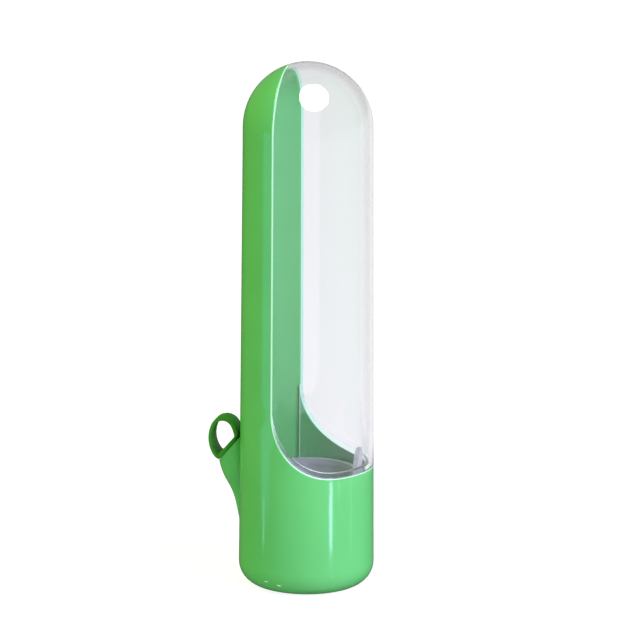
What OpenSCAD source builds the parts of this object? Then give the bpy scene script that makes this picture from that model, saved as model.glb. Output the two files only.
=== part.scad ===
// Herb keeper: a tall capsule with a green back and base moulded in one, a clear front that lifts off,
// a filler spout low on the back with a looped stopper, and a basket inside that keeps stems in the water.
// The capsule stands on z = 0 and its axis is Z. The window looks along -Y and the spout along +Y.

/* [Capsule] */
// Height from the underside to the top of the dome
capsule_h = 236; // [210:1:270]
// Outer diameter just above the bottom curve
base_d = 59.4; // [59:0.2:64]
// Outer diameter where the dome begins
dome_d = 57.4; // [56:0.2:59]
// Radius of the curve between the side and the underside
base_curve_r = 10; // [8:0.5:12]
// Wall of the green moulding
shell_wall = 1.8; // [1.4:0.1:2]

/* [Window] */
// Height of the window's sill above the underside
sill_z = 53.6; // [52:0.2:62]
// How far the window's back edge lies behind the axis
seam_y = 9.8; // [7:0.2:12]
// Radius of the corner between the sill and the back edge
sill_corner_r = 29; // [22:1:32]

/* [Front cover] */
// Wall of the clear moulding
cover_wall = 1.5; // [1.2:0.1:1.8]
// Gap between the cover and the green moulding
cover_gap = 0.3; // [0.2:0.05:0.5]
// Wall of the skirt that drops inside the base
skirt_wall = 1.2; // [1:0.1:1.5]
// How far the skirt reaches below the sill
skirt_depth = 13.5; // [8:0.5:15]
// Height of the thick band along the sill that joins the cover to its skirt
shoulder_h = 2.4; // [2:0.1:4]

/* [Filler spout] */
// Lean of the mouth's axis from the vertical
spout_lean = 50; // [46:1:54]
// Height of the mouth's centre
spout_z = 58.8; // [57:0.2:64]
// Bore that takes the stopper's plug
bore_d = 11.2; // [10.6:0.2:11.8]
// Depth below the mouth to which the pouch is solid round the bore
bore_land = 5; // [4:0.5:6]
// How far the bore runs past the inside of the wall
bore_past = 2.2; // [1.6:0.1:2.6]
// Radius of the pouch where it runs out into the wall
tail_r = 3.5; // [2.5:0.1:4]
// Lean of the pouch from the vertical
pouch_lean = 12; // [10:0.5:14]
// How far below the mouth's centre the pouch runs out into the wall
pouch_drop = 36.8; // [34:0.2:40]
// Length of the pouch's straight tail
tail_l = 13; // [10:0.5:16]
// Length over which the pouch swells from tail to mouth
swell_l = 20; // [16:0.5:22]
// Wall of the pouch
pouch_wall = 1.4; // [1.2:0.1:1.8]

/* [Stopper] */
// How far the square flange stands out past the mouth
flange_lip = 0.2; // [0.1:0.1:0.6]
// Radius of the flange's corners
flange_corner_r = 5.6; // [4.4:0.2:6.6]
// Thickness of the flange
flange_t = 1.6; // [1.2:0.1:2.2]
// Gap under the flange, seen as a dark line
flange_gap = 0.3; // [0.2:0.05:0.4]
// Gap between the flange and the wall behind it
wall_gap = 0.4; // [0.3:0.1:1]
// Running gap of the sealing ribs in the bore
rib_gap = 0.05; // [0.02:0.01:0.08]
// Length of the plug below the mouth
plug_l = 5; // [4.6:0.1:5.4]
// Height of a sealing rib
rib_h = 0.7; // [0.5:0.1:0.9]
// Number of sealing ribs
rib_count = 2; // [1:1:2]
// Wall of the hollow plug
plug_wall = 1.5; // [1.2:0.1:2]

/* [Finger loop] */
// Height of the loop's outline
loop_h = 19.5; // [18:0.5:23]
// Depth of the loop's outline, from front to back
loop_depth = 13.8; // [12.4:0.2:15]
// Radius at the loop's top and foot
loop_end_r = 5.9; // [4.9:0.1:6]
// Lean of the loop away from the wall
loop_lean = 3; // [0:1:8]
// Thickness of the strap
strap_t = 1.7; // [1.3:0.1:2.1]
// Width of the strap at the flange
strap_root_w = 11.2; // [10:0.2:13]
// Width of the strap at the far end of the loop
strap_tip_w = 7.6; // [6.6:0.2:12]
// Height of the loop's centre above the mouth's centre
loop_rise = 4.8; // [4:0.2:6]
// Gap between the loop and the wall behind it
loop_gap = 0.4; // [0.3:0.1:1.5]

/* [Stem basket] */
// Gap between the basket's rim and the skirt of the cover
basket_gap = 1.5; // [0.8:0.1:3]
// Narrowing of the basket from rim to floor, across the diameter
basket_draft = 3; // [2:0.5:5]
// Height of the rim above the underside of the keeper
basket_top_z = 50; // [46:0.5:52]
// Height of the basket's floor above the underside of the keeper
basket_floor_z = 14; // [12:0.5:18]
// Wall of the basket
basket_wall = 1.2; // [1:0.1:1.6]
// Thickness of the bead round the rim
bead_t = 1.9; // [1.6:0.1:2.2]
// Height of the bead round the rim
bead_h = 2.5; // [2:0.1:4]
// Width of a slot in the side
slot_w = 3; // [2:0.2:3.6]
// Length of a slot in the side
slot_l = 17; // [10:0.5:20]
// Number of slots round the side
slot_count = 18; // [12:2:20]
// Diameter of a hole in the floor
drain_d = 3.2; // [2.4:0.2:3.6]
// Solid floor between the outer ring of holes and the foot ring
drain_land = 0.9; // [0.6:0.1:2]
// Number of rings of holes in the floor
drain_rings = 3; // [2:1:3]
// Width of a lift tab at its root
tab_w = 17; // [12:0.5:20]
// Height of a lift tab above the rim
tab_h = 13; // [8:0.5:16]
// Radius of a lift tab's tip
tab_tip_r = 4.5; // [3:0.5:5.5]
// Width of a gap in the foot ring
notch_w = 9; // [6:0.5:12]
// Height of a gap in the foot ring
notch_h = 5; // [3:0.5:6]

/* [Base closure] */
// Width of the flat ring that the keeper stands on
foot_w = 2.2; // [2:0.1:4]
// Wall of the collar that stands inside the opening
collar_wall = 1.8; // [1.5:0.1:2.2]
// Height of the collar above the underside
collar_h = 6; // [5.6:0.1:7]
// Gap between the plate and the collar
plate_gap = 0.1; // [0.05:0.05:0.15]
// Thickness of the plate
plate_t = 1.8; // [1.4:0.1:2.2]
// How far the plate's rim stays below the top of the collar
plate_rim_drop = 0.5; // [0.3:0.1:0.8]
// Width of the plate's rim
plate_rim_w = 3.2; // [3:0.1:3.6]
// Number of ribs across the plate
plate_rib_count = 3; // [2:1:6]
// Width of a rib on the plate
plate_rib_w = 1.2; // [1:0.1:1.6]
// Height of a rib on the plate
plate_rib_h = 1.4; // [0.8:0.1:2]
// Thickness of the O-ring
seal_t = 1.8; // [1.6:0.1:1.9]
// Gap round the O-ring in its groove
seal_gap = 0.05; // [0.02:0.01:0.1]
// Height of the groove beyond the O-ring's thickness
groove_slack = 0.4; // [0.2:0.1:0.5]

/* [Hidden] */
$fn = 96;
// Amount by which a cut runs past the face it opens
over = 1;

// Capsule
base_r = base_d / 2;
dome_r = dome_d / 2;
// Length that reaches past the whole body, for cuts that go right through it
span = base_d + dome_d;
dome_z = capsule_h - dome_r;
flat_r = base_r - base_curve_r;
// Radius of the drafted side at a height
function side_r(z) = base_r + (dome_r - base_r) * (z - base_curve_r) / (dome_z - base_curve_r);

// Front cover
corner_top_z = sill_z + sill_corner_r;
skirt_r = side_r(corner_top_z) - shell_wall - cover_gap;
skirt_z = sill_z - skirt_depth;

// Filler spout: the mouth stands clear of the wall by the half of the flange that leans towards it
mouth_r = bore_d / 2 + pouch_wall;
flange_w = 2 * (mouth_r + flange_lip);
mouth_y = side_r(spout_z) + wall_gap + flange_w / 2 * cos(spout_lean);
tail_z = spout_z - pouch_drop;
// The tail starts just under the wall's surface, so that it runs out without a step
tail_sink = 0.3;
pouch_y = side_r(tail_z) - tail_sink - tail_r / cos(pouch_lean);
// The swell is two equal arcs that meet halfway
swell_r = (mouth_r - tail_r) / 2;
swell_arc_r = (swell_l * swell_l / 4 + swell_r * swell_r) / (2 * swell_r);
// Length of the bore, from the mouth into the shell
bore_l = (mouth_y - side_r(spout_z) + shell_wall) / sin(spout_lean) + bore_past;

// Stopper
plug_r = bore_d / 2 - rib_gap;
plug_core_r = plug_r - rib_h;
// The last rib stands half a pitch above the plug's end
rib_pitch = plug_l / (rib_count + 1 / 2);
loop_y = side_r(spout_z) + loop_gap + loop_depth / 2;
loop_z = spout_z + loop_rise;

// Stem basket
basket_r = skirt_r - skirt_wall - basket_gap;
basket_foot_r = basket_r - basket_draft / 2;
port_r = flat_r - foot_w;
foot_ring_r = port_r + collar_wall;
drain_pitch = (port_r - drain_land - drain_d / 2) / drain_rings;
slot_z = (basket_floor_z + basket_top_z) / 2;

// Base closure
plate_r = port_r - plate_gap;
plate_rim_h = collar_h - plate_rim_drop;
seal_z = (plate_t + plate_rim_h) / 2;
seal_r = port_r - seal_gap - seal_t / 2;
groove_r = seal_r - seal_t / 2 - seal_gap;
groove_w = seal_t + groove_slack;

// Extrudes a [y, z] outline along X, centred on x = 0
module along_x(width) {
    rotate([90, 0, 90]) linear_extrude(height = width, center = true) children();
}

// Half outline of the capsule, drawn in by a wall
module capsule_outline(inset) {
    intersection() {
        union() {
            translate([0, dome_z]) circle(r = dome_r - inset);
            polygon([
                [0, inset],
                [flat_r, inset],
                [base_r - inset, base_curve_r],
                [dome_r - inset, dome_z],
                [0, dome_z]
            ]);
            translate([flat_r, base_curve_r]) circle(r = base_curve_r - inset);
        }
        translate([0, inset]) square([base_r + dome_r, capsule_h]);
    }
}

module capsule(inset) {
    rotate_extrude() capsule_outline(inset);
}

// [y, z] outline of the window seen from the side, drawn in by a gap
module window_outline(inset) {
    back = seam_y - inset;
    floor_z = sill_z + inset;
    corner_r = sill_corner_r - inset;
    translate([-span, floor_z + corner_r]) square([span + back, capsule_h]);
    translate([-span, floor_z]) square([span + back - corner_r, capsule_h]);
    translate([back - corner_r, floor_z + corner_r]) circle(r = corner_r);
}

// Moves children from the origin to the spout's mouth, with Z along the mouth's axis
module at_mouth() {
    translate([0, mouth_y, spout_z]) rotate([-spout_lean, 0, 0]) children();
}

// Half outline of the pouch along its own axis: straight tail, swell and straight neck
module pouch_outline(inset) {
    swell_end = tail_l + swell_l;
    join_z = tail_l + swell_l / 2 + inset * swell_l / 2 / swell_arc_r;
    translate([0, inset]) square([tail_r - inset, tail_l]);
    difference() {
        translate([0, tail_l]) square([mouth_r, join_z - tail_l]);
        translate([tail_r + swell_arc_r, tail_l]) circle(r = swell_arc_r + inset);
    }
    intersection() {
        translate([0, join_z]) square([mouth_r, swell_end - join_z]);
        translate([mouth_r - swell_arc_r, swell_end]) circle(r = swell_arc_r - inset);
    }
    translate([0, swell_end]) square([mouth_r - inset, swell_l]);
}

// The pouch drawn in by a wall and cut off square to the mouth's axis, at a depth below the mouth
module pouch(inset, depth) {
    intersection() {
        translate([0, pouch_y, tail_z]) rotate([-pouch_lean, 0, 0]) rotate_extrude() pouch_outline(inset);
        at_mouth() translate([-span / 2, -span / 2, -span - depth]) cube(span);
    }
}

// Green moulding: base, back wall, back of the dome and filler spout
module body_shell() {
    color("#55b94c") difference() {
        union() {
            difference() {
                capsule(0);
                along_x(span) window_outline(0);
            }
            pouch(0, 0);
        }
        difference() {
            capsule(shell_wall);
            cylinder(r = port_r + collar_wall, h = collar_h);
        }
        pouch(pouch_wall, bore_land);
        at_mouth() translate([0, 0, -bore_l]) cylinder(r = bore_d / 2, h = bore_l + over);
        translate([0, 0, -over]) cylinder(r = port_r, h = collar_h + 2 * over);
    }
}

// Everything between the green wall and the hollow of the cover's skirt
module outside_skirt_hollow() {
    difference() {
        children();
        cylinder(r = skirt_r - skirt_wall, h = capsule_h);
    }
}

// Outline of the cover above its thick band: the band is full at the sill and runs out up the corners
module above_band_outline() {
    translate([0, shoulder_h]) window_outline(cover_gap);
}

// Clear moulding: wall, thick band along the sill and its corners, and skirt inside the base
module front_cover() {
    color("#e4eaec", 0.35) {
        intersection() {
            difference() {
                capsule(0);
                capsule(cover_wall);
            }
            along_x(span) window_outline(cover_gap);
        }
        intersection() {
            outside_skirt_hollow() capsule(0);
            along_x(span) difference() {
                window_outline(cover_gap);
                above_band_outline();
                translate([-span, corner_top_z]) square([2 * span, capsule_h]);
            }
        }
        intersection() {
            outside_skirt_hollow() cylinder(r = skirt_r, h = corner_top_z);
            along_x(span) difference() {
                translate([-span, skirt_z]) square([span + seam_y - cover_gap, capsule_h]);
                above_band_outline();
            }
        }
    }
}

// Square with round corners
module rounded_square(width, corner_r) {
    square([width, width - 2 * corner_r], center = true);
    square([width - 2 * corner_r, width], center = true);
    for (x = [-1, 1], y = [-1, 1])
        translate([x, y] * (width / 2 - corner_r)) circle(r = corner_r);
}

// Upright oval made of four arcs
module oval(height, width, end_r) {
    a = height / 2;
    b = width / 2;
    flank_r = (a * a + b * b - 2 * a * end_r) / (2 * (b - end_r));
    join_y = flank_r * (a - end_r) / (flank_r - end_r);
    intersection() {
        translate([b - flank_r, 0]) circle(r = flank_r);
        translate([flank_r - b, 0]) circle(r = flank_r);
        square([width, 2 * join_y], center = true);
    }
    for (side = [-1, 1]) translate([0, side * (a - end_r)]) circle(r = end_r);
}

// Hollow plug with its sealing ribs, below the mouth
module stopper_plug() {
    difference() {
        rotate_extrude() intersection() {
            union() {
                translate([0, -plug_l]) square([plug_core_r, plug_l + flange_gap + flange_t / 2]);
                for (i = [1:rib_count]) translate([plug_core_r, -i * rib_pitch]) circle(r = rib_h, $fn = 32);
            }
            translate([0, -plug_l]) square([plug_r + over, 2 * plug_l]);
        }
        translate([0, 0, -plug_l - over]) cylinder(r = plug_core_r - plug_wall, h = plug_l);
    }
}

// Strap bent into a loop that stands within the flange's outer edge and narrows towards its far end
module finger_loop() {
    intersection() {
        at_mouth() linear_extrude(height = 2 * loop_h) {
            rounded_square(flange_w, flange_corner_r);
            translate([-flange_w / 2, -2 * loop_h]) square([flange_w, 2 * loop_h]);
        }
        translate([0, loop_y, loop_z]) along_x(strap_root_w) rotate(-loop_lean) difference() {
            oval(loop_h, loop_depth, loop_end_r);
            oval(loop_h - 2 * strap_t, loop_depth - 2 * strap_t, loop_end_r - strap_t);
        }
        at_mouth() translate([0, 0, flange_gap + flange_t / 2]) rotate([90, 0, 0])
            linear_extrude(height = 2 * loop_h, center = true)
                polygon([
                    [-strap_root_w / 2, 0],
                    [strap_root_w / 2, 0],
                    [strap_tip_w / 2, loop_depth],
                    [strap_tip_w / 2, loop_h],
                    [-strap_tip_w / 2, loop_h],
                    [-strap_tip_w / 2, loop_depth]
                ]);
    }
}

// Soft stopper: plug, flange and finger loop in one
module fill_stopper() {
    color("#2f8f2c") {
        at_mouth() {
            stopper_plug();
            translate([0, 0, flange_gap]) linear_extrude(height = flange_t)
                rounded_square(flange_w, flange_corner_r);
        }
        finger_loop();
    }
}

// Slot with round ends, upright, cut through the side at one angle
module side_slot() {
    translate([0, 0, slot_z]) rotate([90, 0, 90]) linear_extrude(height = base_r) {
        square([slot_w, slot_l - slot_w], center = true);
        for (side = [-1, 1]) translate([0, side * (slot_l - slot_w) / 2]) circle(d = slot_w, $fn = 32);
    }
}

// Outline of a lift tab seen from the front, with its root below the rim
module tab_outline() {
    tip = basket_top_z + tab_h - tab_tip_r;
    root = basket_top_z - bead_h;
    polygon([[-tab_w / 2, root], [tab_w / 2, root], [tab_tip_r, tip], [-tab_tip_r, tip]]);
    translate([0, tip]) circle(r = tab_tip_r);
}

// Floor of the basket, with rings of holes round a middle one
module basket_floor() {
    translate([0, 0, basket_floor_z]) linear_extrude(height = basket_wall) difference() {
        circle(r = basket_foot_r - basket_wall / 2);
        circle(d = drain_d, $fn = 24);
        for (k = [1:drain_rings], i = [0:6 * k - 1])
            rotate(60 * i / k) translate([k * drain_pitch, 0]) circle(d = drain_d, $fn = 24);
    }
}

// Inner basket: drafted wall with slots, floor with holes, foot ring with gaps, rim and lift tabs
module stem_basket() {
    color("#d9dedb", 0.6) difference() {
        union() {
            rotate_extrude() {
                polygon([
                    [basket_foot_r, basket_floor_z],
                    [basket_r, basket_top_z],
                    [basket_r - basket_wall, basket_top_z],
                    [basket_foot_r - basket_wall, basket_floor_z]
                ]);
                translate([basket_r - bead_t, basket_top_z - bead_h]) square([bead_t, bead_h]);
            }
            intersection() {
                difference() {
                    cylinder(r = basket_r, h = capsule_h / 2);
                    cylinder(r = basket_r - bead_t, h = capsule_h / 2);
                }
                rotate([90, 0, 0]) linear_extrude(height = base_d, center = true) tab_outline();
            }
        }
        for (i = [0:slot_count - 1]) rotate(360 * (i + 0.5) / slot_count) side_slot();
    }
    color("#d9dedb", 0.6) basket_floor();
    color("#d9dedb", 0.6) difference() {
        rotate_extrude() translate([foot_ring_r - collar_wall, collar_h])
            square([collar_wall, basket_floor_z - collar_h + basket_wall / 2]);
        for (turn = [0, 90]) rotate(turn) translate([-base_r, -notch_w / 2, collar_h - over])
            cube([base_d, notch_w, notch_h + over]);
    }
}

// Round plate that closes the base, with a grooved rim and ribs on its inside
module base_plate() {
    color("#4fae47") {
        rotate_extrude() difference() {
            union() {
                square([plate_r, plate_t]);
                translate([plate_r - plate_rim_w, 0]) square([plate_rim_w, plate_rim_h]);
            }
            translate([groove_r, seal_z - groove_w / 2]) square([seal_t + over, groove_w]);
        }
        for (i = [0:plate_rib_count - 1]) rotate(180 * i / plate_rib_count)
            translate([0, 0, plate_t + plate_rib_h / 2])
                cube([2 * plate_r - plate_rim_w, plate_rib_w, plate_rib_h], center = true);
    }
}

// O-ring in the plate's groove
module base_seal() {
    color("#3a3d3b") translate([0, 0, seal_z]) rotate_extrude() translate([seal_r, 0]) circle(d = seal_t, $fn = 32);
}

body_shell();
front_cover();
fill_stopper();
stem_basket();
base_plate();
base_seal();
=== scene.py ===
import math

import bmesh
import bpy
import numpy as np
from mathutils import Matrix, Quaternion, Vector


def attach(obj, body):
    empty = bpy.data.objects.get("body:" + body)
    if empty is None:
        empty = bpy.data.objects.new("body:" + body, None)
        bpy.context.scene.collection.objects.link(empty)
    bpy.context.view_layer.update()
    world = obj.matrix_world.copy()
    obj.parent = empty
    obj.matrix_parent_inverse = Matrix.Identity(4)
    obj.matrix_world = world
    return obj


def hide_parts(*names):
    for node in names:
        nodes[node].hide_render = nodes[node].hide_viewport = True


# Herb keeper: glossy green back and base, clear lift-off front, soft looped stopper, inner stem basket.
# Sizes of the pieces are millimetres, those of the studio are metres.
# Meshes are made in metres in the model's own frame.
mm = 0.001

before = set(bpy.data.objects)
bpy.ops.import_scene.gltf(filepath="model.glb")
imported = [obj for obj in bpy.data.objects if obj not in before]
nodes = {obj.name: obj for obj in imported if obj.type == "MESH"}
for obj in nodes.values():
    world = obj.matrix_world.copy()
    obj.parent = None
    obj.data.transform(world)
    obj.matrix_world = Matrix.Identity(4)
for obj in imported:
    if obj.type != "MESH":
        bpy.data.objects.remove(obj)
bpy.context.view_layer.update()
print("frame loaded:", sorted(nodes))


def linear(hexColour):
    parts = [int(hexColour[i:i + 2], 16) / 255 for i in (1, 3, 5)]
    return tuple(c / 12.92 if c <= 0.04045 else ((c + 0.055) / 1.055) ** 2.4 for c in parts) + (1.0,)


def shaded(hexColour, share):
    # the same colour, deeper or lighter by a share
    return tuple(c * share for c in linear(hexColour)[:3]) + (1.0,)


def grey(level):
    return (level, level, level, 1.0)


def addNode(tree, kind, links=None, stops=(), **settings):
    # settings named in_X or in_3 go to input sockets, the rest are the node's own properties;
    # stops are those of a colour ramp, as pairs of place and colour
    node = tree.nodes.new(kind)
    for key, value in settings.items():
        if key.startswith("in_"):
            name = key[3:]
            socket = node.inputs[int(name)] if name.isdigit() else node.inputs[name.replace("_", " ")]
            socket.default_value = value
        else:
            setattr(node, key, value)
    for name, source in (links or {}).items():
        tree.links.new(source, node.inputs[name])
    if stops:
        elements = node.color_ramp.elements
        elements[0].position, elements[0].color = stops[0]
        elements[1].position, elements[1].color = stops[-1]
        for position, colour in stops[1:-1]:
            elements.new(position).color = colour
    return node


def newMaterial(name):
    material = bpy.data.materials.new(name)
    material.use_nodes = True
    material.node_tree.nodes.clear()
    return material, material.node_tree


def seenRays(tree, *kinds):
    # 1 for rays of any of the named kinds
    path = addNode(tree, "ShaderNodeLightPath")
    found = path.outputs[kinds[0]]
    for kind in kinds[1:]:
        found = addNode(tree, "ShaderNodeMath", {0: found, 1: path.outputs[kind]}, operation="MAXIMUM").outputs[0]
    return found


def meshObject(name, mesh):
    made = bpy.data.objects.new(name, mesh)
    bpy.context.scene.collection.objects.link(made)
    return made


shell = {
    "colour": "#66ce73", "roughness": 0.07, "plateColour": "#60c468", "plateRoughness": 0.16,
    "toneSize": 38, "waveSize": 9, "waveDepth": 0.06, "hazeSize": 3, "hazeRise": 0.05, "easedR": 0.5,
}


def mouldedAbs(name, colour, roughness):
    # ABS from a polished mould: a hard bright gloss that still wavers a little where the wall sank on cooling
    material, tree = newMaterial(name)
    place = addNode(tree, "ShaderNodeTexCoord").outputs["Object"]
    cloud = addNode(tree, "ShaderNodeTexNoise", {"Vector": place},
                    in_Scale=1 / (shell["toneSize"] * mm), in_Detail=2.0, in_Roughness=0.5)
    tone = addNode(tree, "ShaderNodeValToRGB", {0: cloud.outputs["Fac"]},
                   stops=[(0.35, shaded(colour, 0.965)), (0.65, shaded(colour, 1.03))])
    # long waves, the slight sink and flow of a thin moulded wall
    wave = addNode(tree, "ShaderNodeTexNoise", {"Vector": place},
                   in_Scale=1 / (shell["waveSize"] * mm), in_Detail=1.0, in_Roughness=0.4)
    # handling haze in small patches: only a few hundredths of roughness
    haze = addNode(tree, "ShaderNodeTexNoise", {"Vector": place},
                   in_Scale=1 / (shell["hazeSize"] * mm), in_Detail=4.0, in_Roughness=0.6)
    rough = addNode(tree, "ShaderNodeMapRange", {"Value": haze.outputs["Fac"]}, in_From_Min=0.35, in_From_Max=0.7,
                    in_To_Min=roughness, in_To_Max=roughness + shell["hazeRise"])
    # trimmed edges are eased and catch a thin bright line
    eased = addNode(tree, "ShaderNodeBevel", samples=6, in_Radius=shell["easedR"] * mm)
    bump = addNode(tree, "ShaderNodeBump", {"Height": wave.outputs["Fac"], "Normal": eased.outputs[0]},
                   in_Strength=0.35, in_Distance=shell["waveDepth"] * mm)
    shader = addNode(tree, "ShaderNodeBsdfPrincipled",
                     {"Base Color": tone.outputs["Color"], "Roughness": rough.outputs[0], "Normal": bump.outputs[0]},
                     in_IOR=1.53)
    addNode(tree, "ShaderNodeOutputMaterial", {"Surface": shader.outputs[0]})
    return material


# the cover's trimmed edge follows the window: a vertical back edge, a round corner and a level sill;
# along it the eased rim carries a painted highlight, a milky colour with a painted glow, over the rim width, which
# narrows to the sill's rim width over the last stretch down to the sill
cover = {
    "back": 9.5, "floor": 53.9, "cornerR": 28.7, "near": 0.04,
    "paintedRimW": 0.75, "paintedSillRimW": 0.12, "narrowing": 24, "paintedRimSolid": 0.7,
    "waveSize": 16, "edgeGrain": 2.5, "edgeGlow": 0.5, "skirtGlow": 0.03,
    "edgeTurn": 0.05, "skirtRise": 1, "skirtTurn": 0.6, "skirtTilt": 0.3,
}


def paintedRimShare(tree, place):
    # 1 on the cover's eased rim, where a highlight is painted, 0 on the rest of its wall
    c = cover
    split = addNode(tree, "ShaderNodeSeparateXYZ", {0: place})
    back = addNode(tree, "ShaderNodeMath", {0: split.outputs["Y"]}, operation="SUBTRACT",
                   in_1=(c["back"] - c["cornerR"]) * mm)
    back = addNode(tree, "ShaderNodeMath", {0: back.outputs[0]}, operation="MAXIMUM", in_1=0.0)
    down = addNode(tree, "ShaderNodeMath", {1: split.outputs["Z"]}, operation="SUBTRACT",
                   in_0=(c["floor"] + c["cornerR"]) * mm)
    down = addNode(tree, "ShaderNodeMath", {0: down.outputs[0]}, operation="MAXIMUM", in_1=0.0)
    flat = addNode(tree, "ShaderNodeCombineXYZ", {0: back.outputs[0], 1: down.outputs[0]})
    reach = addNode(tree, "ShaderNodeVectorMath", {0: flat.outputs[0]}, operation="LENGTH")
    inward = addNode(tree, "ShaderNodeMath", {1: reach.outputs["Value"]}, operation="SUBTRACT", in_0=c["cornerR"] * mm)
    width = addNode(tree, "ShaderNodeMapRange", {0: split.outputs["Z"]},
                    in_From_Min=c["floor"] * mm, in_From_Max=(c["floor"] + c["narrowing"]) * mm,
                    in_To_Min=c["paintedSillRimW"] * mm, in_To_Max=c["paintedRimW"] * mm)
    ratio = addNode(tree, "ShaderNodeMath", {0: inward.outputs[0], 1: width.outputs[0]}, operation="DIVIDE")
    fade = addNode(tree, "ShaderNodeMapRange", {0: ratio.outputs[0]}, interpolation_type="SMOOTHSTEP",
                   in_From_Min=c["paintedRimSolid"], in_From_Max=1.0, in_To_Min=1.0, in_To_Max=0.0)
    inside = addNode(tree, "ShaderNodeMath", {0: inward.outputs[0]}, operation="GREATER_THAN", in_1=-c["near"] * mm)
    return addNode(tree, "ShaderNodeMath", {0: fade.outputs[0], 1: inside.outputs[0]}, operation="MULTIPLY").outputs[0]


def clearSan(name):
    # SAN from a polished mould: water-clear with a cool cast, sharp reflections, pale grey where it is seen edge on
    material, tree = newMaterial(name)
    place = addNode(tree, "ShaderNodeTexCoord").outputs["Object"]
    wave = addNode(tree, "ShaderNodeTexNoise", {"Vector": place},
                   in_Scale=1 / (cover["waveSize"] * mm), in_Detail=1.0, in_Roughness=0.4)
    bump = addNode(tree, "ShaderNodeBump", {"Height": wave.outputs["Fac"]}, in_Strength=0.25, in_Distance=0.05 * mm)
    facing = addNode(tree, "ShaderNodeLayerWeight", in_Blend=0.5)
    depth = addNode(tree, "ShaderNodeValToRGB", {0: facing.outputs["Facing"]},
                    stops=[(0.42, linear("#f2f2f6")), (0.7, linear("#dbd9dd")), (1.0, linear("#cfcdd3"))])
    glass = addNode(tree, "ShaderNodeBsdfPrincipled", {"Base Color": depth.outputs["Color"], "Normal": bump.outputs[0]},
                    in_Roughness=0.012, in_IOR=1.49, in_Transmission_Weight=1.0)
    # the eased rim is painted light: a milky colour and a faint glow stand in for the highlight it catches
    paintedRimHighlight = addNode(tree, "ShaderNodeBsdfPrincipled", in_Base_Color=linear("#b9efd3"), in_Roughness=0.2, in_IOR=1.49,
                    in_Emission_Color=linear("#c4f2dc"), in_Emission_Strength=0.3)
    wall = addNode(tree, "ShaderNodeMixShader", {0: paintedRimShare(tree, place), 1: glass.outputs[0], 2: paintedRimHighlight.outputs[0]})
    # lamps shine through the thin wall, so that what stands inside is lit
    lamps = addNode(tree, "ShaderNodeBsdfTransparent", in_Color=linear("#eef1f0"))
    passing = seenRays(tree, "Is Shadow Ray", "Is Diffuse Ray")
    mix = addNode(tree, "ShaderNodeMixShader", {0: passing, 1: wall.outputs[0], 2: lamps.outputs[0]})
    addNode(tree, "ShaderNodeOutputMaterial", {"Surface": mix.outputs[0]})
    return material


def sanEdgePaintedGlow(name, glow):
    # the trimmed edge of the clear wall, painted as a bright milky line: its near-white colour and its emission are
    # painted light that stands in for the light gathered along the wall
    material, tree = newMaterial(name)
    place = addNode(tree, "ShaderNodeTexCoord").outputs["Object"]
    grain = addNode(tree, "ShaderNodeTexNoise", {"Vector": place},
                    in_Scale=1 / (cover["edgeGrain"] * mm), in_Detail=2.0)
    tone = addNode(tree, "ShaderNodeValToRGB", {0: grain.outputs["Fac"]},
                   stops=[(0.3, linear("#c9ddd2")), (0.7, linear("#f4fbf6"))])
    shader = addNode(tree, "ShaderNodeBsdfPrincipled", {"Base Color": tone.outputs["Color"]},
                     in_Roughness=0.3, in_IOR=1.57, in_Emission_Color=linear("#cdf2e3"), in_Emission_Strength=glow)
    addNode(tree, "ShaderNodeOutputMaterial", {"Surface": shader.outputs[0]})
    return material


def mouldedTpe(name, colour):
    # soft TPE from a lightly blasted mould: deeper green, satin, with a broad weak sheen and fine tooth
    material, tree = newMaterial(name)
    place = addNode(tree, "ShaderNodeTexCoord").outputs["Object"]
    # clouds of 6 mm in tone and sheen, and a mould tooth of 0.25 mm
    cloud = addNode(tree, "ShaderNodeTexNoise", {"Vector": place},
                    in_Scale=1 / (6 * mm), in_Detail=3.0, in_Roughness=0.55)
    tone = addNode(tree, "ShaderNodeValToRGB", {0: cloud.outputs["Fac"]},
                   stops=[(0.35, shaded(colour, 0.9)), (0.65, shaded(colour, 1.1))])
    tooth = addNode(tree, "ShaderNodeTexNoise", {"Vector": place}, in_Scale=1 / (0.25 * mm), in_Detail=2.0)
    rough = addNode(tree, "ShaderNodeMapRange", {"Value": cloud.outputs["Fac"]},
                    in_From_Min=0.35, in_From_Max=0.65, in_To_Min=0.46, in_To_Max=0.56)
    bump = addNode(tree, "ShaderNodeBump", {"Height": tooth.outputs["Fac"]}, in_Strength=0.25, in_Distance=0.02 * mm)
    shader = addNode(tree, "ShaderNodeBsdfPrincipled",
                     {"Base Color": tone.outputs["Color"], "Roughness": rough.outputs[0], "Normal": bump.outputs[0]},
                     in_IOR=1.45, in_Specular_IOR_Level=0.08)
    addNode(tree, "ShaderNodeOutputMaterial", {"Surface": shader.outputs[0]})
    return material


def naturalPp(name):
    # undyed PP, injection moulded: milky, lets light through softly, waxy gloss
    material, tree = newMaterial(name)
    place = addNode(tree, "ShaderNodeTexCoord").outputs["Object"]
    cloud = addNode(tree, "ShaderNodeTexNoise", {"Vector": place}, in_Scale=1 / (14 * mm), in_Detail=2.0)
    tone = addNode(tree, "ShaderNodeValToRGB", {0: cloud.outputs["Fac"]},
                   stops=[(0.35, linear("#cdd0cc")), (0.65, linear("#dcdeda"))])
    bump = addNode(tree, "ShaderNodeBump", {"Height": cloud.outputs["Fac"]}, in_Strength=0.2, in_Distance=0.05 * mm)
    body = addNode(tree, "ShaderNodeBsdfPrincipled", {"Base Color": tone.outputs["Color"], "Normal": bump.outputs[0]},
                   in_Roughness=0.34, in_IOR=1.5, in_Transmission_Weight=0.3)
    lamps = addNode(tree, "ShaderNodeBsdfTransparent", in_Color=linear("#b9bcb9"))
    passing = seenRays(tree, "Is Shadow Ray")
    mix = addNode(tree, "ShaderNodeMixShader", {0: passing, 1: body.outputs[0], 2: lamps.outputs[0]})
    addNode(tree, "ShaderNodeOutputMaterial", {"Surface": mix.outputs[0]})
    return material


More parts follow.
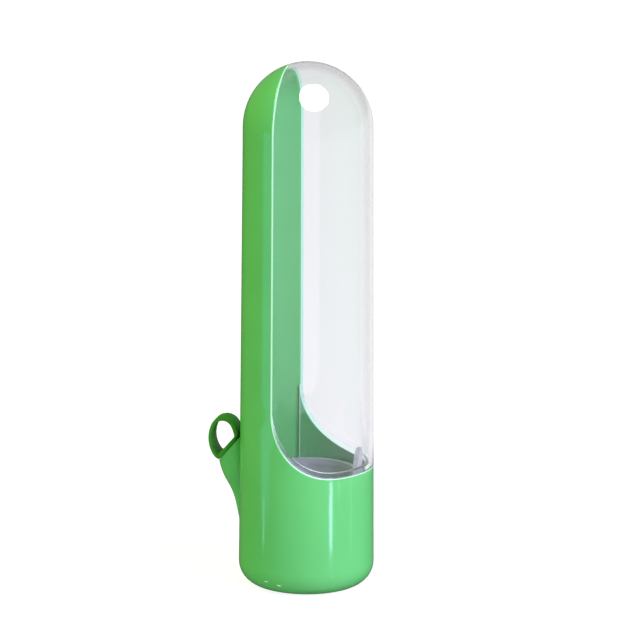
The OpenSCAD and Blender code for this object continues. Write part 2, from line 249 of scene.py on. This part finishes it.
def nitrileRubber(name):
    # moulded nitrile: near black, dull, with a fine bloom on the skin
    material, tree = newMaterial(name)
    place = addNode(tree, "ShaderNodeTexCoord").outputs["Object"]
    bloom = addNode(tree, "ShaderNodeTexNoise", {"Vector": place}, in_Scale=1 / (1.5 * mm), in_Detail=3.0)
    tone = addNode(tree, "ShaderNodeValToRGB", {0: bloom.outputs["Fac"]},
                   stops=[(0.35, linear("#2a2c2b")), (0.7, linear("#3d403e"))])
    shader = addNode(tree, "ShaderNodeBsdfPrincipled", {"Base Color": tone.outputs["Color"]},
                     in_Roughness=0.62, in_IOR=1.52)
    addNode(tree, "ShaderNodeOutputMaterial", {"Surface": shader.outputs[0]})
    return material


shellAbs = mouldedAbs("ABS, injection moulded in a polished mould, leaf green", shell["colour"], shell["roughness"])
plateAbs = mouldedAbs("ABS, injection moulded, base plate", shell["plateColour"], shell["plateRoughness"])
coverSan = clearSan("SAN, injection moulded in a polished mould, clear")
# the trimmed edge glows with painted light, and only faintly where it stays inside the base
coverEdgePaintedGlow = sanEdgePaintedGlow("SAN, trimmed edge with painted glow", cover["edgeGlow"])
skirtEdgePaintedGlow = sanEdgePaintedGlow("SAN, trimmed edge with painted glow inside the base", cover["skirtGlow"])
stopperTpe = mouldedTpe("TPE, injection moulded, satin deep green", "#3f9630")
basketPp = naturalPp("PP, injection moulded, undyed")
sealNbr = nitrileRubber("Nitrile rubber, moulded O-ring")
print("materials made")


def dress(nodeName, *materials):
    slots = nodes[nodeName].data.materials
    slots.clear()
    for m in materials:
        slots.append(m)


dress("body_shell", shellAbs)
dress("front_cover", coverSan, coverEdgePaintedGlow, skirtEdgePaintedGlow)
dress("stem_basket", basketPp)
dress("base_plate", plateAbs)
dress("base_seal", sealNbr)


def edgeDistance(y, z):
    # from the window's line, in the side view
    c = cover
    centreY, centreZ = c["back"] - c["cornerR"], c["floor"] + c["cornerR"]
    if z >= centreZ:
        return abs(y - c["back"])
    if y <= centreY:
        return abs(z - c["floor"])
    return abs(math.hypot(y - centreY, z - centreZ) - c["cornerR"])


def coverSlot(face, corners):
    # 1 for the trimmed edge, 2 for the skirt's upright ends, hidden in the base until the cover is lifted;
    # the dictionary's turns and tilt are the most that the normal may point sideways, outwards or up
    if abs(face.normal.x) < cover["edgeTurn"] and all(edgeDistance(v.y, v.z) < cover["near"] for v in corners):
        return 1
    outward = Vector((face.center.x, face.center.y, 0)).normalized()
    lowEnough = max(v.z for v in corners) < cover["floor"] + cover["cornerR"] + cover["skirtRise"]
    upright = abs(face.normal.dot(outward)) < cover["skirtTurn"] and abs(face.normal.z) < cover["skirtTilt"]
    return 2 if lowEnough and upright else 0


coverMesh = nodes["front_cover"].data
for face in coverMesh.polygons:
    face.material_index = coverSlot(face, [coverMesh.vertices[i].co / mm for i in face.vertices])
edgeFaces = sum(1 for face in coverMesh.polygons if face.material_index > 0)
print("cover: edge faces", edgeFaces, "of", len(coverMesh.polygons))


stopper = {
    "mouthY": 34.481, "mouthZ": 58.8, "lean": 50,
    "flangeW": 14.4, "flangeCornerR": 5.6, "flangeT": 1.6, "flangeGap": 0.3,
    "plugR": 5.55, "plugL": 5.0, "plugWall": 1.5, "roofDrop": 0.3, "ribH": 0.7, "ribPitch": 2.0, "ribCount": 2,
    "loopH": 19.5, "loopDepth": 13.8, "loopEndR": 5.9, "loopLean": 3, "strapT": 1.7, "rootW": 11.2, "tipW": 7.6,
    "loopY": 36.753, "loopZ": 63.6, "strapCornerR": 0.5, "footGap": 0.06, "footInset": 0.5,
    # how finely it is made, and how much its corners are eased
    "turns": 96, "ribTurns": 16, "flankPoints": 20, "endPoints": 24, "pathPoints": 180, "cornerPoints": 4,
    "voxel": 0.16, "easeFactor": 0.5, "easeRounds": 7,
}


def mouthMatrix():
    s = stopper
    turn = Matrix.Rotation(-math.radians(s["lean"]), 4, "X")
    return Matrix.Translation((0, s["mouthY"] * mm, s["mouthZ"] * mm)) @ turn


def solidFrom(name, build):
    bm = bmesh.new()
    build(bm)
    bmesh.ops.remove_doubles(bm, verts=bm.verts, dist=1e-8)
    bmesh.ops.recalc_face_normals(bm, faces=bm.faces)
    mesh = bpy.data.meshes.new(name)
    bm.to_mesh(mesh)
    bm.free()
    return meshObject(name, mesh)


def nodeTree(name, inputs):
    # a tree of geometry nodes with named inputs after the geometry itself
    tree = bpy.data.node_groups.new(name, "GeometryNodeTree")
    tree.interface.new_socket("Geometry", in_out="INPUT", socket_type="NodeSocketGeometry")
    for label, kind in inputs:
        tree.interface.new_socket(label, in_out="INPUT", socket_type=kind)
    tree.interface.new_socket("Geometry", in_out="OUTPUT", socket_type="NodeSocketGeometry")
    return tree, tree.nodes.new("NodeGroupInput").outputs


def finishTree(tree, geometry, material):
    real = addNode(tree, "GeometryNodeRealizeInstances", {0: geometry})
    made = addNode(tree, "GeometryNodeSetMaterial", {0: real.outputs[0], "Material": material})
    addNode(tree, "NodeGroupOutput", {0: made.outputs[0]})


def applied(obj, name):
    graph = bpy.context.evaluated_depsgraph_get()
    mesh = bpy.data.meshes.new_from_object(obj.evaluated_get(graph))
    mesh.name = name
    return mesh


def grown(name, base, tree, values):
    # runs a tree on a base object and keeps only the mesh that it makes
    modifier = base.modifiers.new(name, "NODES")
    modifier.node_group = tree
    for item in tree.interface.items_tree:
        if item.in_out == "INPUT" and item.name in values:
            modifier[item.identifier] = values[item.name]
    base.update_tag()
    bpy.context.view_layer.update()
    mesh = applied(base, name)
    bpy.data.objects.remove(base)
    return meshObject(name, mesh)


def ovalPath(bm):
    # middle line of the strap: four arcs, leaning away from the wall, on the plane x = 0
    s = stopper
    a, b, endR = (s["loopH"] - s["strapT"]) / 2, (s["loopDepth"] - s["strapT"]) / 2, s["loopEndR"] - s["strapT"] / 2
    flankR = (a * a + b * b - 2 * a * endR) / (2 * (b - endR))
    turn = math.atan2(a - endR, flankR - b)
    flank, end = np.linspace(0, turn, s["flankPoints"]), np.linspace(turn, math.pi / 2, s["endPoints"])[1:]
    quarter = [(flankR * math.cos(t) - flankR + b, flankR * math.sin(t)) for t in flank]
    quarter += [(endR * math.cos(t), a - endR + endR * math.sin(t)) for t in end]
    half = quarter + [(-y, z) for y, z in quarter[-2::-1]]
    outline = half + [(-y, -z) for y, z in half[1:-1]]
    lean = -math.radians(s["loopLean"])
    verts = []
    for y, z in outline:
        leanY, leanZ = y * math.cos(lean) - z * math.sin(lean), y * math.sin(lean) + z * math.cos(lean)
        verts.append(bm.verts.new((0, (leanY + s["loopY"]) * mm, (leanZ + s["loopZ"]) * mm)))
    for one, two in zip(verts, verts[1:] + verts[:1]):
        bm.edges.new((one, two))


def strapTree():
    # sweeps a round-cornered section along the path, then narrows it with the distance from the mouth
    tree, given = nodeTree("strap along its path", [
        ("Width", "NodeSocketFloat"), ("Thickness", "NodeSocketFloat"), ("Corner", "NodeSocketFloat"),
        ("Tip share", "NodeSocketFloat"), ("Taper length", "NodeSocketFloat"),
        ("Mouth", "NodeSocketVector"), ("Mouth axis", "NodeSocketVector"), ("Material", "NodeSocketMaterial")])
    path = addNode(tree, "GeometryNodeMeshToCurve", {0: given["Geometry"]})
    even = addNode(tree, "GeometryNodeResampleCurve", {"Curve": path.outputs[0]}, in_Count=stopper["pathPoints"])
    section = addNode(tree, "GeometryNodeCurvePrimitiveQuadrilateral",
                      {"Width": given["Width"], "Height": given["Thickness"]})
    eased = addNode(tree, "GeometryNodeFilletCurve", {"Curve": section.outputs[0], "Radius": given["Corner"]},
                    mode="POLY", in_Count=stopper["cornerPoints"])
    swept = addNode(tree, "GeometryNodeCurveToMesh", {"Curve": even.outputs[0], "Profile Curve": eased.outputs[0]})
    place = addNode(tree, "GeometryNodeInputPosition").outputs[0]
    off = addNode(tree, "ShaderNodeVectorMath", {0: place, 1: given["Mouth"]}, operation="SUBTRACT")
    height = addNode(tree, "ShaderNodeVectorMath", {0: off.outputs[0], 1: given["Mouth axis"]}, operation="DOT_PRODUCT")
    share = addNode(tree, "ShaderNodeMapRange",
                    {"Value": height.outputs["Value"], "From Max": given["Taper length"], "To Max": given["Tip share"]},
                    in_From_Min=0.0, in_To_Min=1.0)
    parts = addNode(tree, "ShaderNodeSeparateXYZ", {0: place})
    narrow = addNode(tree, "ShaderNodeMath", {0: parts.outputs["X"], 1: share.outputs[0]}, operation="MULTIPLY")
    moved = addNode(tree, "ShaderNodeCombineXYZ",
                    {"X": narrow.outputs[0], "Y": parts.outputs["Y"], "Z": parts.outputs["Z"]})
    shaped = addNode(tree, "GeometryNodeSetPosition", {"Geometry": swept.outputs[0], "Position": moved.outputs[0]})
    finishTree(tree, shaped.outputs[0], given["Material"])
    return tree


def ribTree():
    # sealing ribs: round rings repeated down the plug, in the mouth's own frame
    tree, given = nodeTree("ribs down the plug", [
        ("Count", "NodeSocketInt"), ("Pitch", "NodeSocketVector"), ("Core radius", "NodeSocketFloat"),
        ("Rib height", "NodeSocketFloat"), ("Material", "NodeSocketMaterial")])
    line = addNode(tree, "GeometryNodeMeshLine",
                   {"Count": given["Count"], "Start Location": given["Pitch"], "Offset": given["Pitch"]})
    ring = addNode(tree, "GeometryNodeCurvePrimitiveCircle", {"Radius": given["Core radius"]},
                   in_Resolution=stopper["turns"])
    section = addNode(tree, "GeometryNodeCurvePrimitiveCircle", {"Radius": given["Rib height"]},
                      in_Resolution=stopper["ribTurns"])
    rib = addNode(tree, "GeometryNodeCurveToMesh", {"Curve": ring.outputs[0], "Profile Curve": section.outputs[0]})
    many = addNode(tree, "GeometryNodeInstanceOnPoints", {"Points": line.outputs[0], "Instance": rib.outputs[0]})
    finishTree(tree, many.outputs[0], given["Material"])
    return tree


def cutAtFlange(obj, cut, axis):
    # the strap ends in the middle of the flange
    bm = bmesh.new()
    bm.from_mesh(obj.data)
    got = bmesh.ops.bisect_plane(bm, geom=bm.verts[:] + bm.edges[:] + bm.faces[:], plane_co=cut, plane_no=axis,
                                 clear_inner=True)
    bmesh.ops.holes_fill(bm, edges=[e for e in got["geom_cut"] if isinstance(e, bmesh.types.BMEdge)])
    bmesh.ops.recalc_face_normals(bm, faces=bm.faces)
    bm.to_mesh(obj.data)
    bm.free()


def buildFlange(bm):
    s = stopper
    half, r = s["flangeW"] / 2, s["flangeCornerR"]
    outline = []
    for k in range(s["turns"]):
        t = 2 * math.pi * k / s["turns"]
        cx, cy = math.copysign(half - r, math.cos(t)), math.copysign(half - r, math.sin(t))
        outline.append((cx + r * math.cos(t), cy + r * math.sin(t)))
    # a shallow foot under the flange keeps daylight out of the joint and leaves it a dark line
    foot = 1 - s["footInset"] / half
    levels = ((s["footGap"], foot), (s["flangeGap"], foot), (s["flangeGap"], 1), (s["flangeGap"] + s["flangeT"], 1))
    rings = [[bm.verts.new((x * share, y * share, z)) for x, y in outline] for z, share in levels]
    for low, high in zip(rings, rings[1:]):
        for k in range(len(outline)):
            bm.faces.new((low[k - 1], low[k], high[k], high[k - 1]))
    bm.faces.new(rings[0][::-1])
    bm.faces.new(rings[-1])
    bm.transform(mouthMatrix() @ Matrix.Scale(mm, 4))


def buildPlug(bm):
    # hollow core under the flange, closed at the mouth and open at its end
    s = stopper
    core, top, low, roof = s["plugR"] - s["ribH"], s["flangeGap"] + s["flangeT"] / 2, -s["plugL"], -s["roofDrop"]
    hollow = core - s["plugWall"]
    profile = [(0.0, top), (core, top), (core, low), (hollow, low), (hollow, roof), (0.0, roof)]
    points = [bm.verts.new((r, 0, z)) for r, z in profile]
    edges = [bm.edges.new(pair) for pair in zip(points, points[1:])]
    bmesh.ops.spin(bm, geom=points + edges, cent=(0, 0, 0), axis=(0, 0, 1), angle=2 * math.pi, steps=s["turns"],
                   use_merge=True)
    bmesh.ops.remove_doubles(bm, verts=bm.verts, dist=1e-5)
    bm.transform(mouthMatrix() @ Matrix.Scale(mm, 4))


mouthCut = mouthMatrix() @ Vector((0, 0, (stopper["flangeGap"] + stopper["flangeT"] / 2) * mm))
mouthAxis = mouthMatrix().to_3x3() @ Vector((0, 0, 1))
loopPart = grown("loopPart", solidFrom("loopPath", ovalPath), strapTree(), {
    "Width": stopper["rootW"] * mm, "Thickness": stopper["strapT"] * mm, "Corner": stopper["strapCornerR"] * mm,
    "Tip share": stopper["tipW"] / stopper["rootW"], "Taper length": stopper["loopDepth"] * mm,
    "Mouth": tuple(mouthCut), "Mouth axis": tuple(mouthAxis), "Material": stopperTpe})
cutAtFlange(loopPart, mouthCut, mouthAxis)
# the ribs' tree makes all its own geometry, so its base is empty
ribPart = grown("ribPart", solidFrom("ribBase", lambda bm: None), ribTree(), {
    "Count": stopper["ribCount"], "Pitch": (0.0, 0.0, -stopper["ribPitch"] * mm),
    "Core radius": (stopper["plugR"] - stopper["ribH"]) * mm, "Rib height": stopper["ribH"] * mm,
    "Material": stopperTpe})
ribPart.data.transform(mouthMatrix())
flangePart = solidFrom("flangePart", buildFlange)
plugPart = solidFrom("plugPart", buildPlug)
for other in (flangePart, plugPart, ribPart):
    union = loopPart.modifiers.new("join", "BOOLEAN")
    union.operation, union.solver, union.object = "UNION", "EXACT", other
# one skin with the corners eased as a soft moulding's are
remesh = loopPart.modifiers.new("skin", "REMESH")
remesh.mode, remesh.voxel_size, remesh.use_smooth_shade = "VOXEL", stopper["voxel"] * mm, True
ease = loopPart.modifiers.new("ease", "SMOOTH")
ease.factor, ease.iterations = stopper["easeFactor"], stopper["easeRounds"]
bpy.context.view_layer.update()
stopperMesh = applied(loopPart, "fillStopperSoft")
stopperPiece = meshObject("fillStopperSoft", stopperMesh)
for part in (loopPart, flangePart, plugPart, ribPart):
    bpy.data.objects.remove(part)
stopperMesh.materials.clear()
stopperMesh.materials.append(stopperTpe)
for face in stopperMesh.polygons:
    face.use_smooth = True
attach(stopperPiece, "stopper")
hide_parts("fill_stopper")
print("stopper:", len(stopperMesh.polygons), "faces")


# the camera: degrees; distance, clipping and the aim's height in metres; the picture's width and shift in millimetres
photo = {
    "azimuth": -76.0, "elevation": 15.5, "roll": 0.25, "far": 12.0, "width": 281.2, "right": 5.58, "up": 115.0,
    "aimZ": 0.118, "sensor": 36, "clip": (0.1, 60),
}


def viewAxes():
    a, e = math.radians(photo["azimuth"]), math.radians(photo["elevation"])
    back = Vector((math.sin(a) * math.cos(e), -math.cos(a) * math.cos(e), math.sin(e)))
    right = Vector((0, 0, 1)).cross(back).normalized()
    return right, back.cross(right), back


right, up, back = viewAxes()
level = Vector((back.x, back.y, 0)).normalized()

aim = right * photo["right"] * mm + up * photo["up"] * mm
aim += back * ((photo["aimZ"] - aim.z) / back.z)
camera = bpy.data.objects.new("camera", bpy.data.cameras.new("camera"))
bpy.context.scene.collection.objects.link(camera)
camera.location = aim + back * photo["far"]
camera.rotation_mode = "QUATERNION"
camera.rotation_quaternion = (-back).to_track_quat("-Z", "Y") @ Quaternion((0, 0, 1), math.radians(photo["roll"]))
camera.data.sensor_width = photo["sensor"]
camera.data.lens = photo["sensor"] * photo["far"] / (photo["width"] * mm)
camera.data.clip_start, camera.data.clip_end = photo["clip"]
bpy.context.scene.camera = camera


# turn and rise in degrees, the turn counted from the camera's side to its right
studio = {
    "keyTurn": 46, "keyRise": 30, "keyFar": 0.9, "keySize": 0.5, "keyPower": 12.1, "keyColour": "#d2bcff",
    "fillTurn": -112, "fillRise": 30, "fillFar": 0.6, "fillSize": 0.3, "fillPower": 1.15, "fillColour": "#ffd44a",
    "lampAimZ": 0.12, "ambient": 0.68, "ambientColour": "#e5ffb0",
    "floorSize": 4.0, "floorPaint": (0.30, 0.29, 0.35, 1.0), "floorGlow": 0.89, "floorBounce": 0.62,
    "tentR": 0.30, "tentTurns": 96, "tentLow": -0.25, "tentHigh": 0.75,
    "baseToTube": (-0.03, -0.015), "tubeToCeiling": (0.17, 0.24), "ceilingColour": "#8f8a93",
}


def turned(degrees, rise):
    # direction at a turn to the right of the camera's own, and a rise above the floor
    d = Matrix.Rotation(math.radians(degrees), 3, "Z") @ level
    return (d * math.cos(math.radians(rise)) + Vector((0, 0, math.sin(math.radians(rise))))).normalized()


floor = solidFrom("floor", lambda bm: bmesh.ops.create_grid(bm, x_segments=1, y_segments=1, size=studio["floorSize"]))
floorMaterial, tree = newMaterial("pale painted floor")
# the paint leans blue against the warm sky light, so that the floor and its shadow stay neutral
paint = addNode(tree, "ShaderNodeBsdfDiffuse", in_Color=studio["floorPaint"])
glow = addNode(tree, "ShaderNodeEmission", in_Color=grey(1.0), in_Strength=studio["floorGlow"])
both = addNode(tree, "ShaderNodeAddShader", {0: paint.outputs[0], 1: glow.outputs[0]})
# light that bounces off the floor onto the part comes from plain paint
plain = addNode(tree, "ShaderNodeBsdfDiffuse", in_Color=grey(studio["floorBounce"]))
seen = seenRays(tree, "Is Camera Ray", "Is Glossy Ray", "Is Transmission Ray")
mix = addNode(tree, "ShaderNodeMixShader", {0: seen, 1: plain.outputs[0], 2: both.outputs[0]})
addNode(tree, "ShaderNodeOutputMaterial", {"Surface": mix.outputs[0]})
floor.data.materials.append(floorMaterial)
floor.visible_glossy = False

world = bpy.data.worlds.new("studio")
bpy.context.scene.world = world
world.use_nodes = True
tree = world.node_tree
tree.nodes.clear()
white = addNode(tree, "ShaderNodeBackground", in_Color=grey(1.0), in_Strength=1.0)
sky = addNode(tree, "ShaderNodeBackground", in_Color=linear(studio["ambientColour"]), in_Strength=studio["ambient"])
seen = seenRays(tree, "Is Camera Ray", "Is Glossy Ray", "Is Transmission Ray")
mix = addNode(tree, "ShaderNodeMixShader", {0: seen, 1: sky.outputs[0], 2: white.outputs[0]})
addNode(tree, "ShaderNodeOutputWorld", {"Surface": mix.outputs[0]})


def softLamp(name):
    data = bpy.data.lights.new(name, "AREA")
    data.shape, data.size, data.energy = "SQUARE", studio[name + "Size"], studio[name + "Power"]
    data.color = linear(studio[name + "Colour"])[:3]
    lamp = bpy.data.objects.new(name, data)
    bpy.context.scene.collection.objects.link(lamp)
    to = turned(studio[name + "Turn"], studio[name + "Rise"])
    lamp.location = Vector((0, 0, studio["lampAimZ"])) + to * studio[name + "Far"]
    lamp.rotation_mode = "QUATERNION"
    lamp.rotation_quaternion = (-to).to_track_quat("-Z", "Y")
    lamp.visible_camera = lamp.visible_glossy = lamp.visible_transmission = False


softLamp("key")
softLamp("fill")


def buildTent(bm):
    turns, r = studio["tentTurns"], studio["tentR"]
    rings = [[bm.verts.new((r * math.cos(2 * math.pi * k / turns), r * math.sin(2 * math.pi * k / turns), z))
              for k in range(turns)] for z in (studio["tentLow"], studio["tentHigh"])]
    for k in range(turns):
        bm.faces.new((rings[0][k - 1], rings[0][k], rings[1][k], rings[1][k - 1]))
    for ring in rings:
        bm.faces.new(ring)


# light of the tent's walls by turn, from behind round to behind: what the base mirrors, then what the tube mirrors
lowWall = [(0.0, 0.06), (0.1, 0.1), (0.22, 0.12), (0.5, 0.4), (0.61, 0.7), (0.72, 0.5), (0.84, 0.12), (1.0, 0.03)]
highWall = [(0.0, 0.06), (0.1, 0.08), (0.22, 0.2), (0.5, 0.4), (0.61, 0.7), (0.75, 0.9), (0.9, 1.0), (1.0, 0.8)]
# window strips: turn, half width, fade in degrees; low, high, fade in metres; light
strips = [
    (40.5, 0.9, 3.0, -0.0503, -0.0215, 0.003, (7.0, 9.0, 12.0)),
    (40.5, 0.0, 8.0, -0.0525, -0.0215, 0.004, (0.5, 0.7, 1.6)),
    (55.4, 0.3, 1.8, -0.0280, -0.0215, 0.004, (1.6, 2.4, 2.4)),
    (79.6, 0.5, 2.5, -0.0540, -0.0215, 0.006, (0.7, 1.0, 0.8)),
    (-75.6, 0.5, 2.4, -0.0512, -0.033, 0.003, (1.1, 2.6, 2.3)),
    (-75.6, 1.0, 2.4, -0.0518, -0.046, 0.002, (0.3, 1.0, 0.9)),
    (-73.0, 4.0, 9.0, -0.0286, 0.17, 0.02, (0.3, 0.9, 1.3)),
]


def between(tree, value, low, high, fade):
    # 1 between low and high, fading to 0 outside them
    rise = addNode(tree, "ShaderNodeMapRange", {"Value": value}, interpolation_type="SMOOTHSTEP",
                   in_From_Min=low - fade, in_From_Max=low)
    fall = addNode(tree, "ShaderNodeMapRange", {"Value": value}, interpolation_type="SMOOTHSTEP",
                   in_From_Min=high, in_From_Max=high + fade, in_To_Min=1.0, in_To_Max=0.0)
    return addNode(tree, "ShaderNodeMath", {0: rise.outputs[0], 1: fall.outputs[0]}, operation="MULTIPLY").outputs[0]


def tentPaint():
    material, tree = newMaterial("tent with window strips")
    split = addNode(tree, "ShaderNodeSeparateXYZ", {0: addNode(tree, "ShaderNodeTexCoord").outputs["Object"]})
    height = split.outputs["Z"]
    # degrees round the tent, counted from the camera's side to its right
    angle = addNode(tree, "ShaderNodeMath", {0: split.outputs["Y"], 1: split.outputs["X"]}, operation="ARCTAN2")
    turn = addNode(tree, "ShaderNodeMath", {0: angle.outputs[0]}, operation="SUBTRACT",
                   in_1=math.atan2(level.y, level.x))
    turn = addNode(tree, "ShaderNodeMath", {0: turn.outputs[0]}, operation="WRAP", in_1=math.pi, in_2=-math.pi)
    turn = addNode(tree, "ShaderNodeMath", {0: turn.outputs[0]}, operation="MULTIPLY", in_1=180 / math.pi).outputs[0]
    share = addNode(tree, "ShaderNodeMapRange", {"Value": turn}, in_From_Min=-180.0, in_From_Max=180.0).outputs[0]
    baseLight, tubeLight = [
        addNode(tree, "ShaderNodeValToRGB", {0: share}, stops=[(at, grey(light)) for at, light in wall]).outputs[0]
        for wall in (lowWall, highWall)]
    (baseTop, tubeFrom), (wallTop, ceilingFrom) = studio["baseToTube"], studio["tubeToCeiling"]
    upper = addNode(tree, "ShaderNodeMapRange", {"Value": height}, interpolation_type="SMOOTHSTEP",
                    in_From_Min=baseTop, in_From_Max=tubeFrom)
    top = addNode(tree, "ShaderNodeMapRange", {"Value": height}, interpolation_type="SMOOTHSTEP",
                  in_From_Min=wallTop, in_From_Max=ceilingFrom)
    walls = addNode(tree, "ShaderNodeMixRGB", {0: upper.outputs[0], 1: baseLight, 2: tubeLight})
    colour = addNode(tree, "ShaderNodeMixRGB", {0: top.outputs[0], 1: walls.outputs[0]},
                     in_2=linear(studio["ceilingColour"])).outputs[0]
    for at, half, fade, low, high, fadeZ, light in strips:
        off = addNode(tree, "ShaderNodeMath", {0: turn}, operation="SUBTRACT", in_1=at)
        off = addNode(tree, "ShaderNodeMath", {0: off.outputs[0]}, operation="ABSOLUTE")
        across = addNode(tree, "ShaderNodeMapRange", {"Value": off.outputs[0]}, interpolation_type="SMOOTHSTEP",
                         in_From_Min=half, in_From_Max=half + fade, in_To_Min=1.0, in_To_Max=0.0)
        along = between(tree, height, low, high, fadeZ)
        lit = addNode(tree, "ShaderNodeMath", {0: across.outputs[0], 1: along}, operation="MULTIPLY")
        tint = addNode(tree, "ShaderNodeVectorMath", {0: lit.outputs[0]}, operation="MULTIPLY", in_1=light)
        colour = addNode(tree, "ShaderNodeVectorMath", {0: colour, 1: tint.outputs[0]}, operation="ADD").outputs[0]
    glow = addNode(tree, "ShaderNodeEmission", {"Color": colour}, in_Strength=1.0)
    addNode(tree, "ShaderNodeOutputMaterial", {"Surface": glow.outputs[0]})
    return material


def mirrorDisc(name, point, normal, away, radius, stretch, lampLevel):
    # a round lamp placed where a point of the gloss, at its normal, mirrors it to the camera;
    # it is stretched by what the curved mirror squeezes it
    to = (normal * 2 * normal.dot(back) - back).normalized()
    side = normal.cross(back).normalized()
    facing = Matrix((side * radius, to.cross(side) * radius * stretch, to)).transposed().to_4x4()
    disc = solidFrom(name, lambda bm: bmesh.ops.create_circle(bm, cap_ends=True, segments=64, radius=1.0))
    disc.data.transform(Matrix.Translation(point + to * away) @ facing)
    material, tree = newMaterial(name)
    glow = addNode(tree, "ShaderNodeEmission", in_Color=grey(1.0), in_Strength=lampLevel)
    addNode(tree, "ShaderNodeOutputMaterial", {"Surface": glow.outputs[0]})
    disc.data.materials.append(material)
    return disc


# what the gloss mirrors, seen by reflections only: a tent with narrow upright window strips,
# the round lamp that gives the white spot on the clear dome, and two small ones by the foot
tent = solidFrom("tent", buildTent)
tent.data.materials.append(tentPaint())
# the spot's place on the dome as shares of the camera's right, up and back; dome in millimetres, lamp in metres
domeSpot = {
    "right": 0.0871, "up": 0.444, "back": 0.892, "centreZ": 207.3, "domeR": 28.7,
    "lampAway": 0.15, "lampR": 0.072, "lampStretch": 1.14, "lampLevel": 17.0,
}
domeAt = (right * domeSpot["right"] + up * domeSpot["up"] + back * domeSpot["back"]).normalized()
domePoint = Vector((0, 0, domeSpot["centreZ"] * mm)) + domeAt * (domeSpot["domeR"] * mm)
cards = [tent, mirrorDisc("round lamp", domePoint, domeAt, domeSpot["lampAway"], domeSpot["lampR"],
                          domeSpot["lampStretch"], domeSpot["lampLevel"])]
# name; normal as shares to the right, to the camera and up; radius and height on the base in millimetres; light
footSpots = [
    ("foot lamp one", (-0.56, 0.739, -0.375), 28.97, 6.25, 6.0),
    ("foot lamp two", (-0.372, 0.80, -0.47), 28.5, 4.9, 12.0),
]
footAway, footR = 0.1, 0.005
for name, (side, front, rise), radius, z, lampLevel in footSpots:
    normal = (right * side + level * front + Vector((0, 0, rise))).normalized()
    flat = Vector((normal.x, normal.y, 0)).normalized()
    cards.append(mirrorDisc(name, flat * radius * mm + Vector((0, 0, z * mm)), normal, footAway, footR, 1.0, lampLevel))
for card in cards:
    card.visible_camera = card.visible_diffuse = card.visible_transmission = card.visible_shadow = False

bpy.context.scene.view_settings.view_transform = "Standard"
print("studio ready")
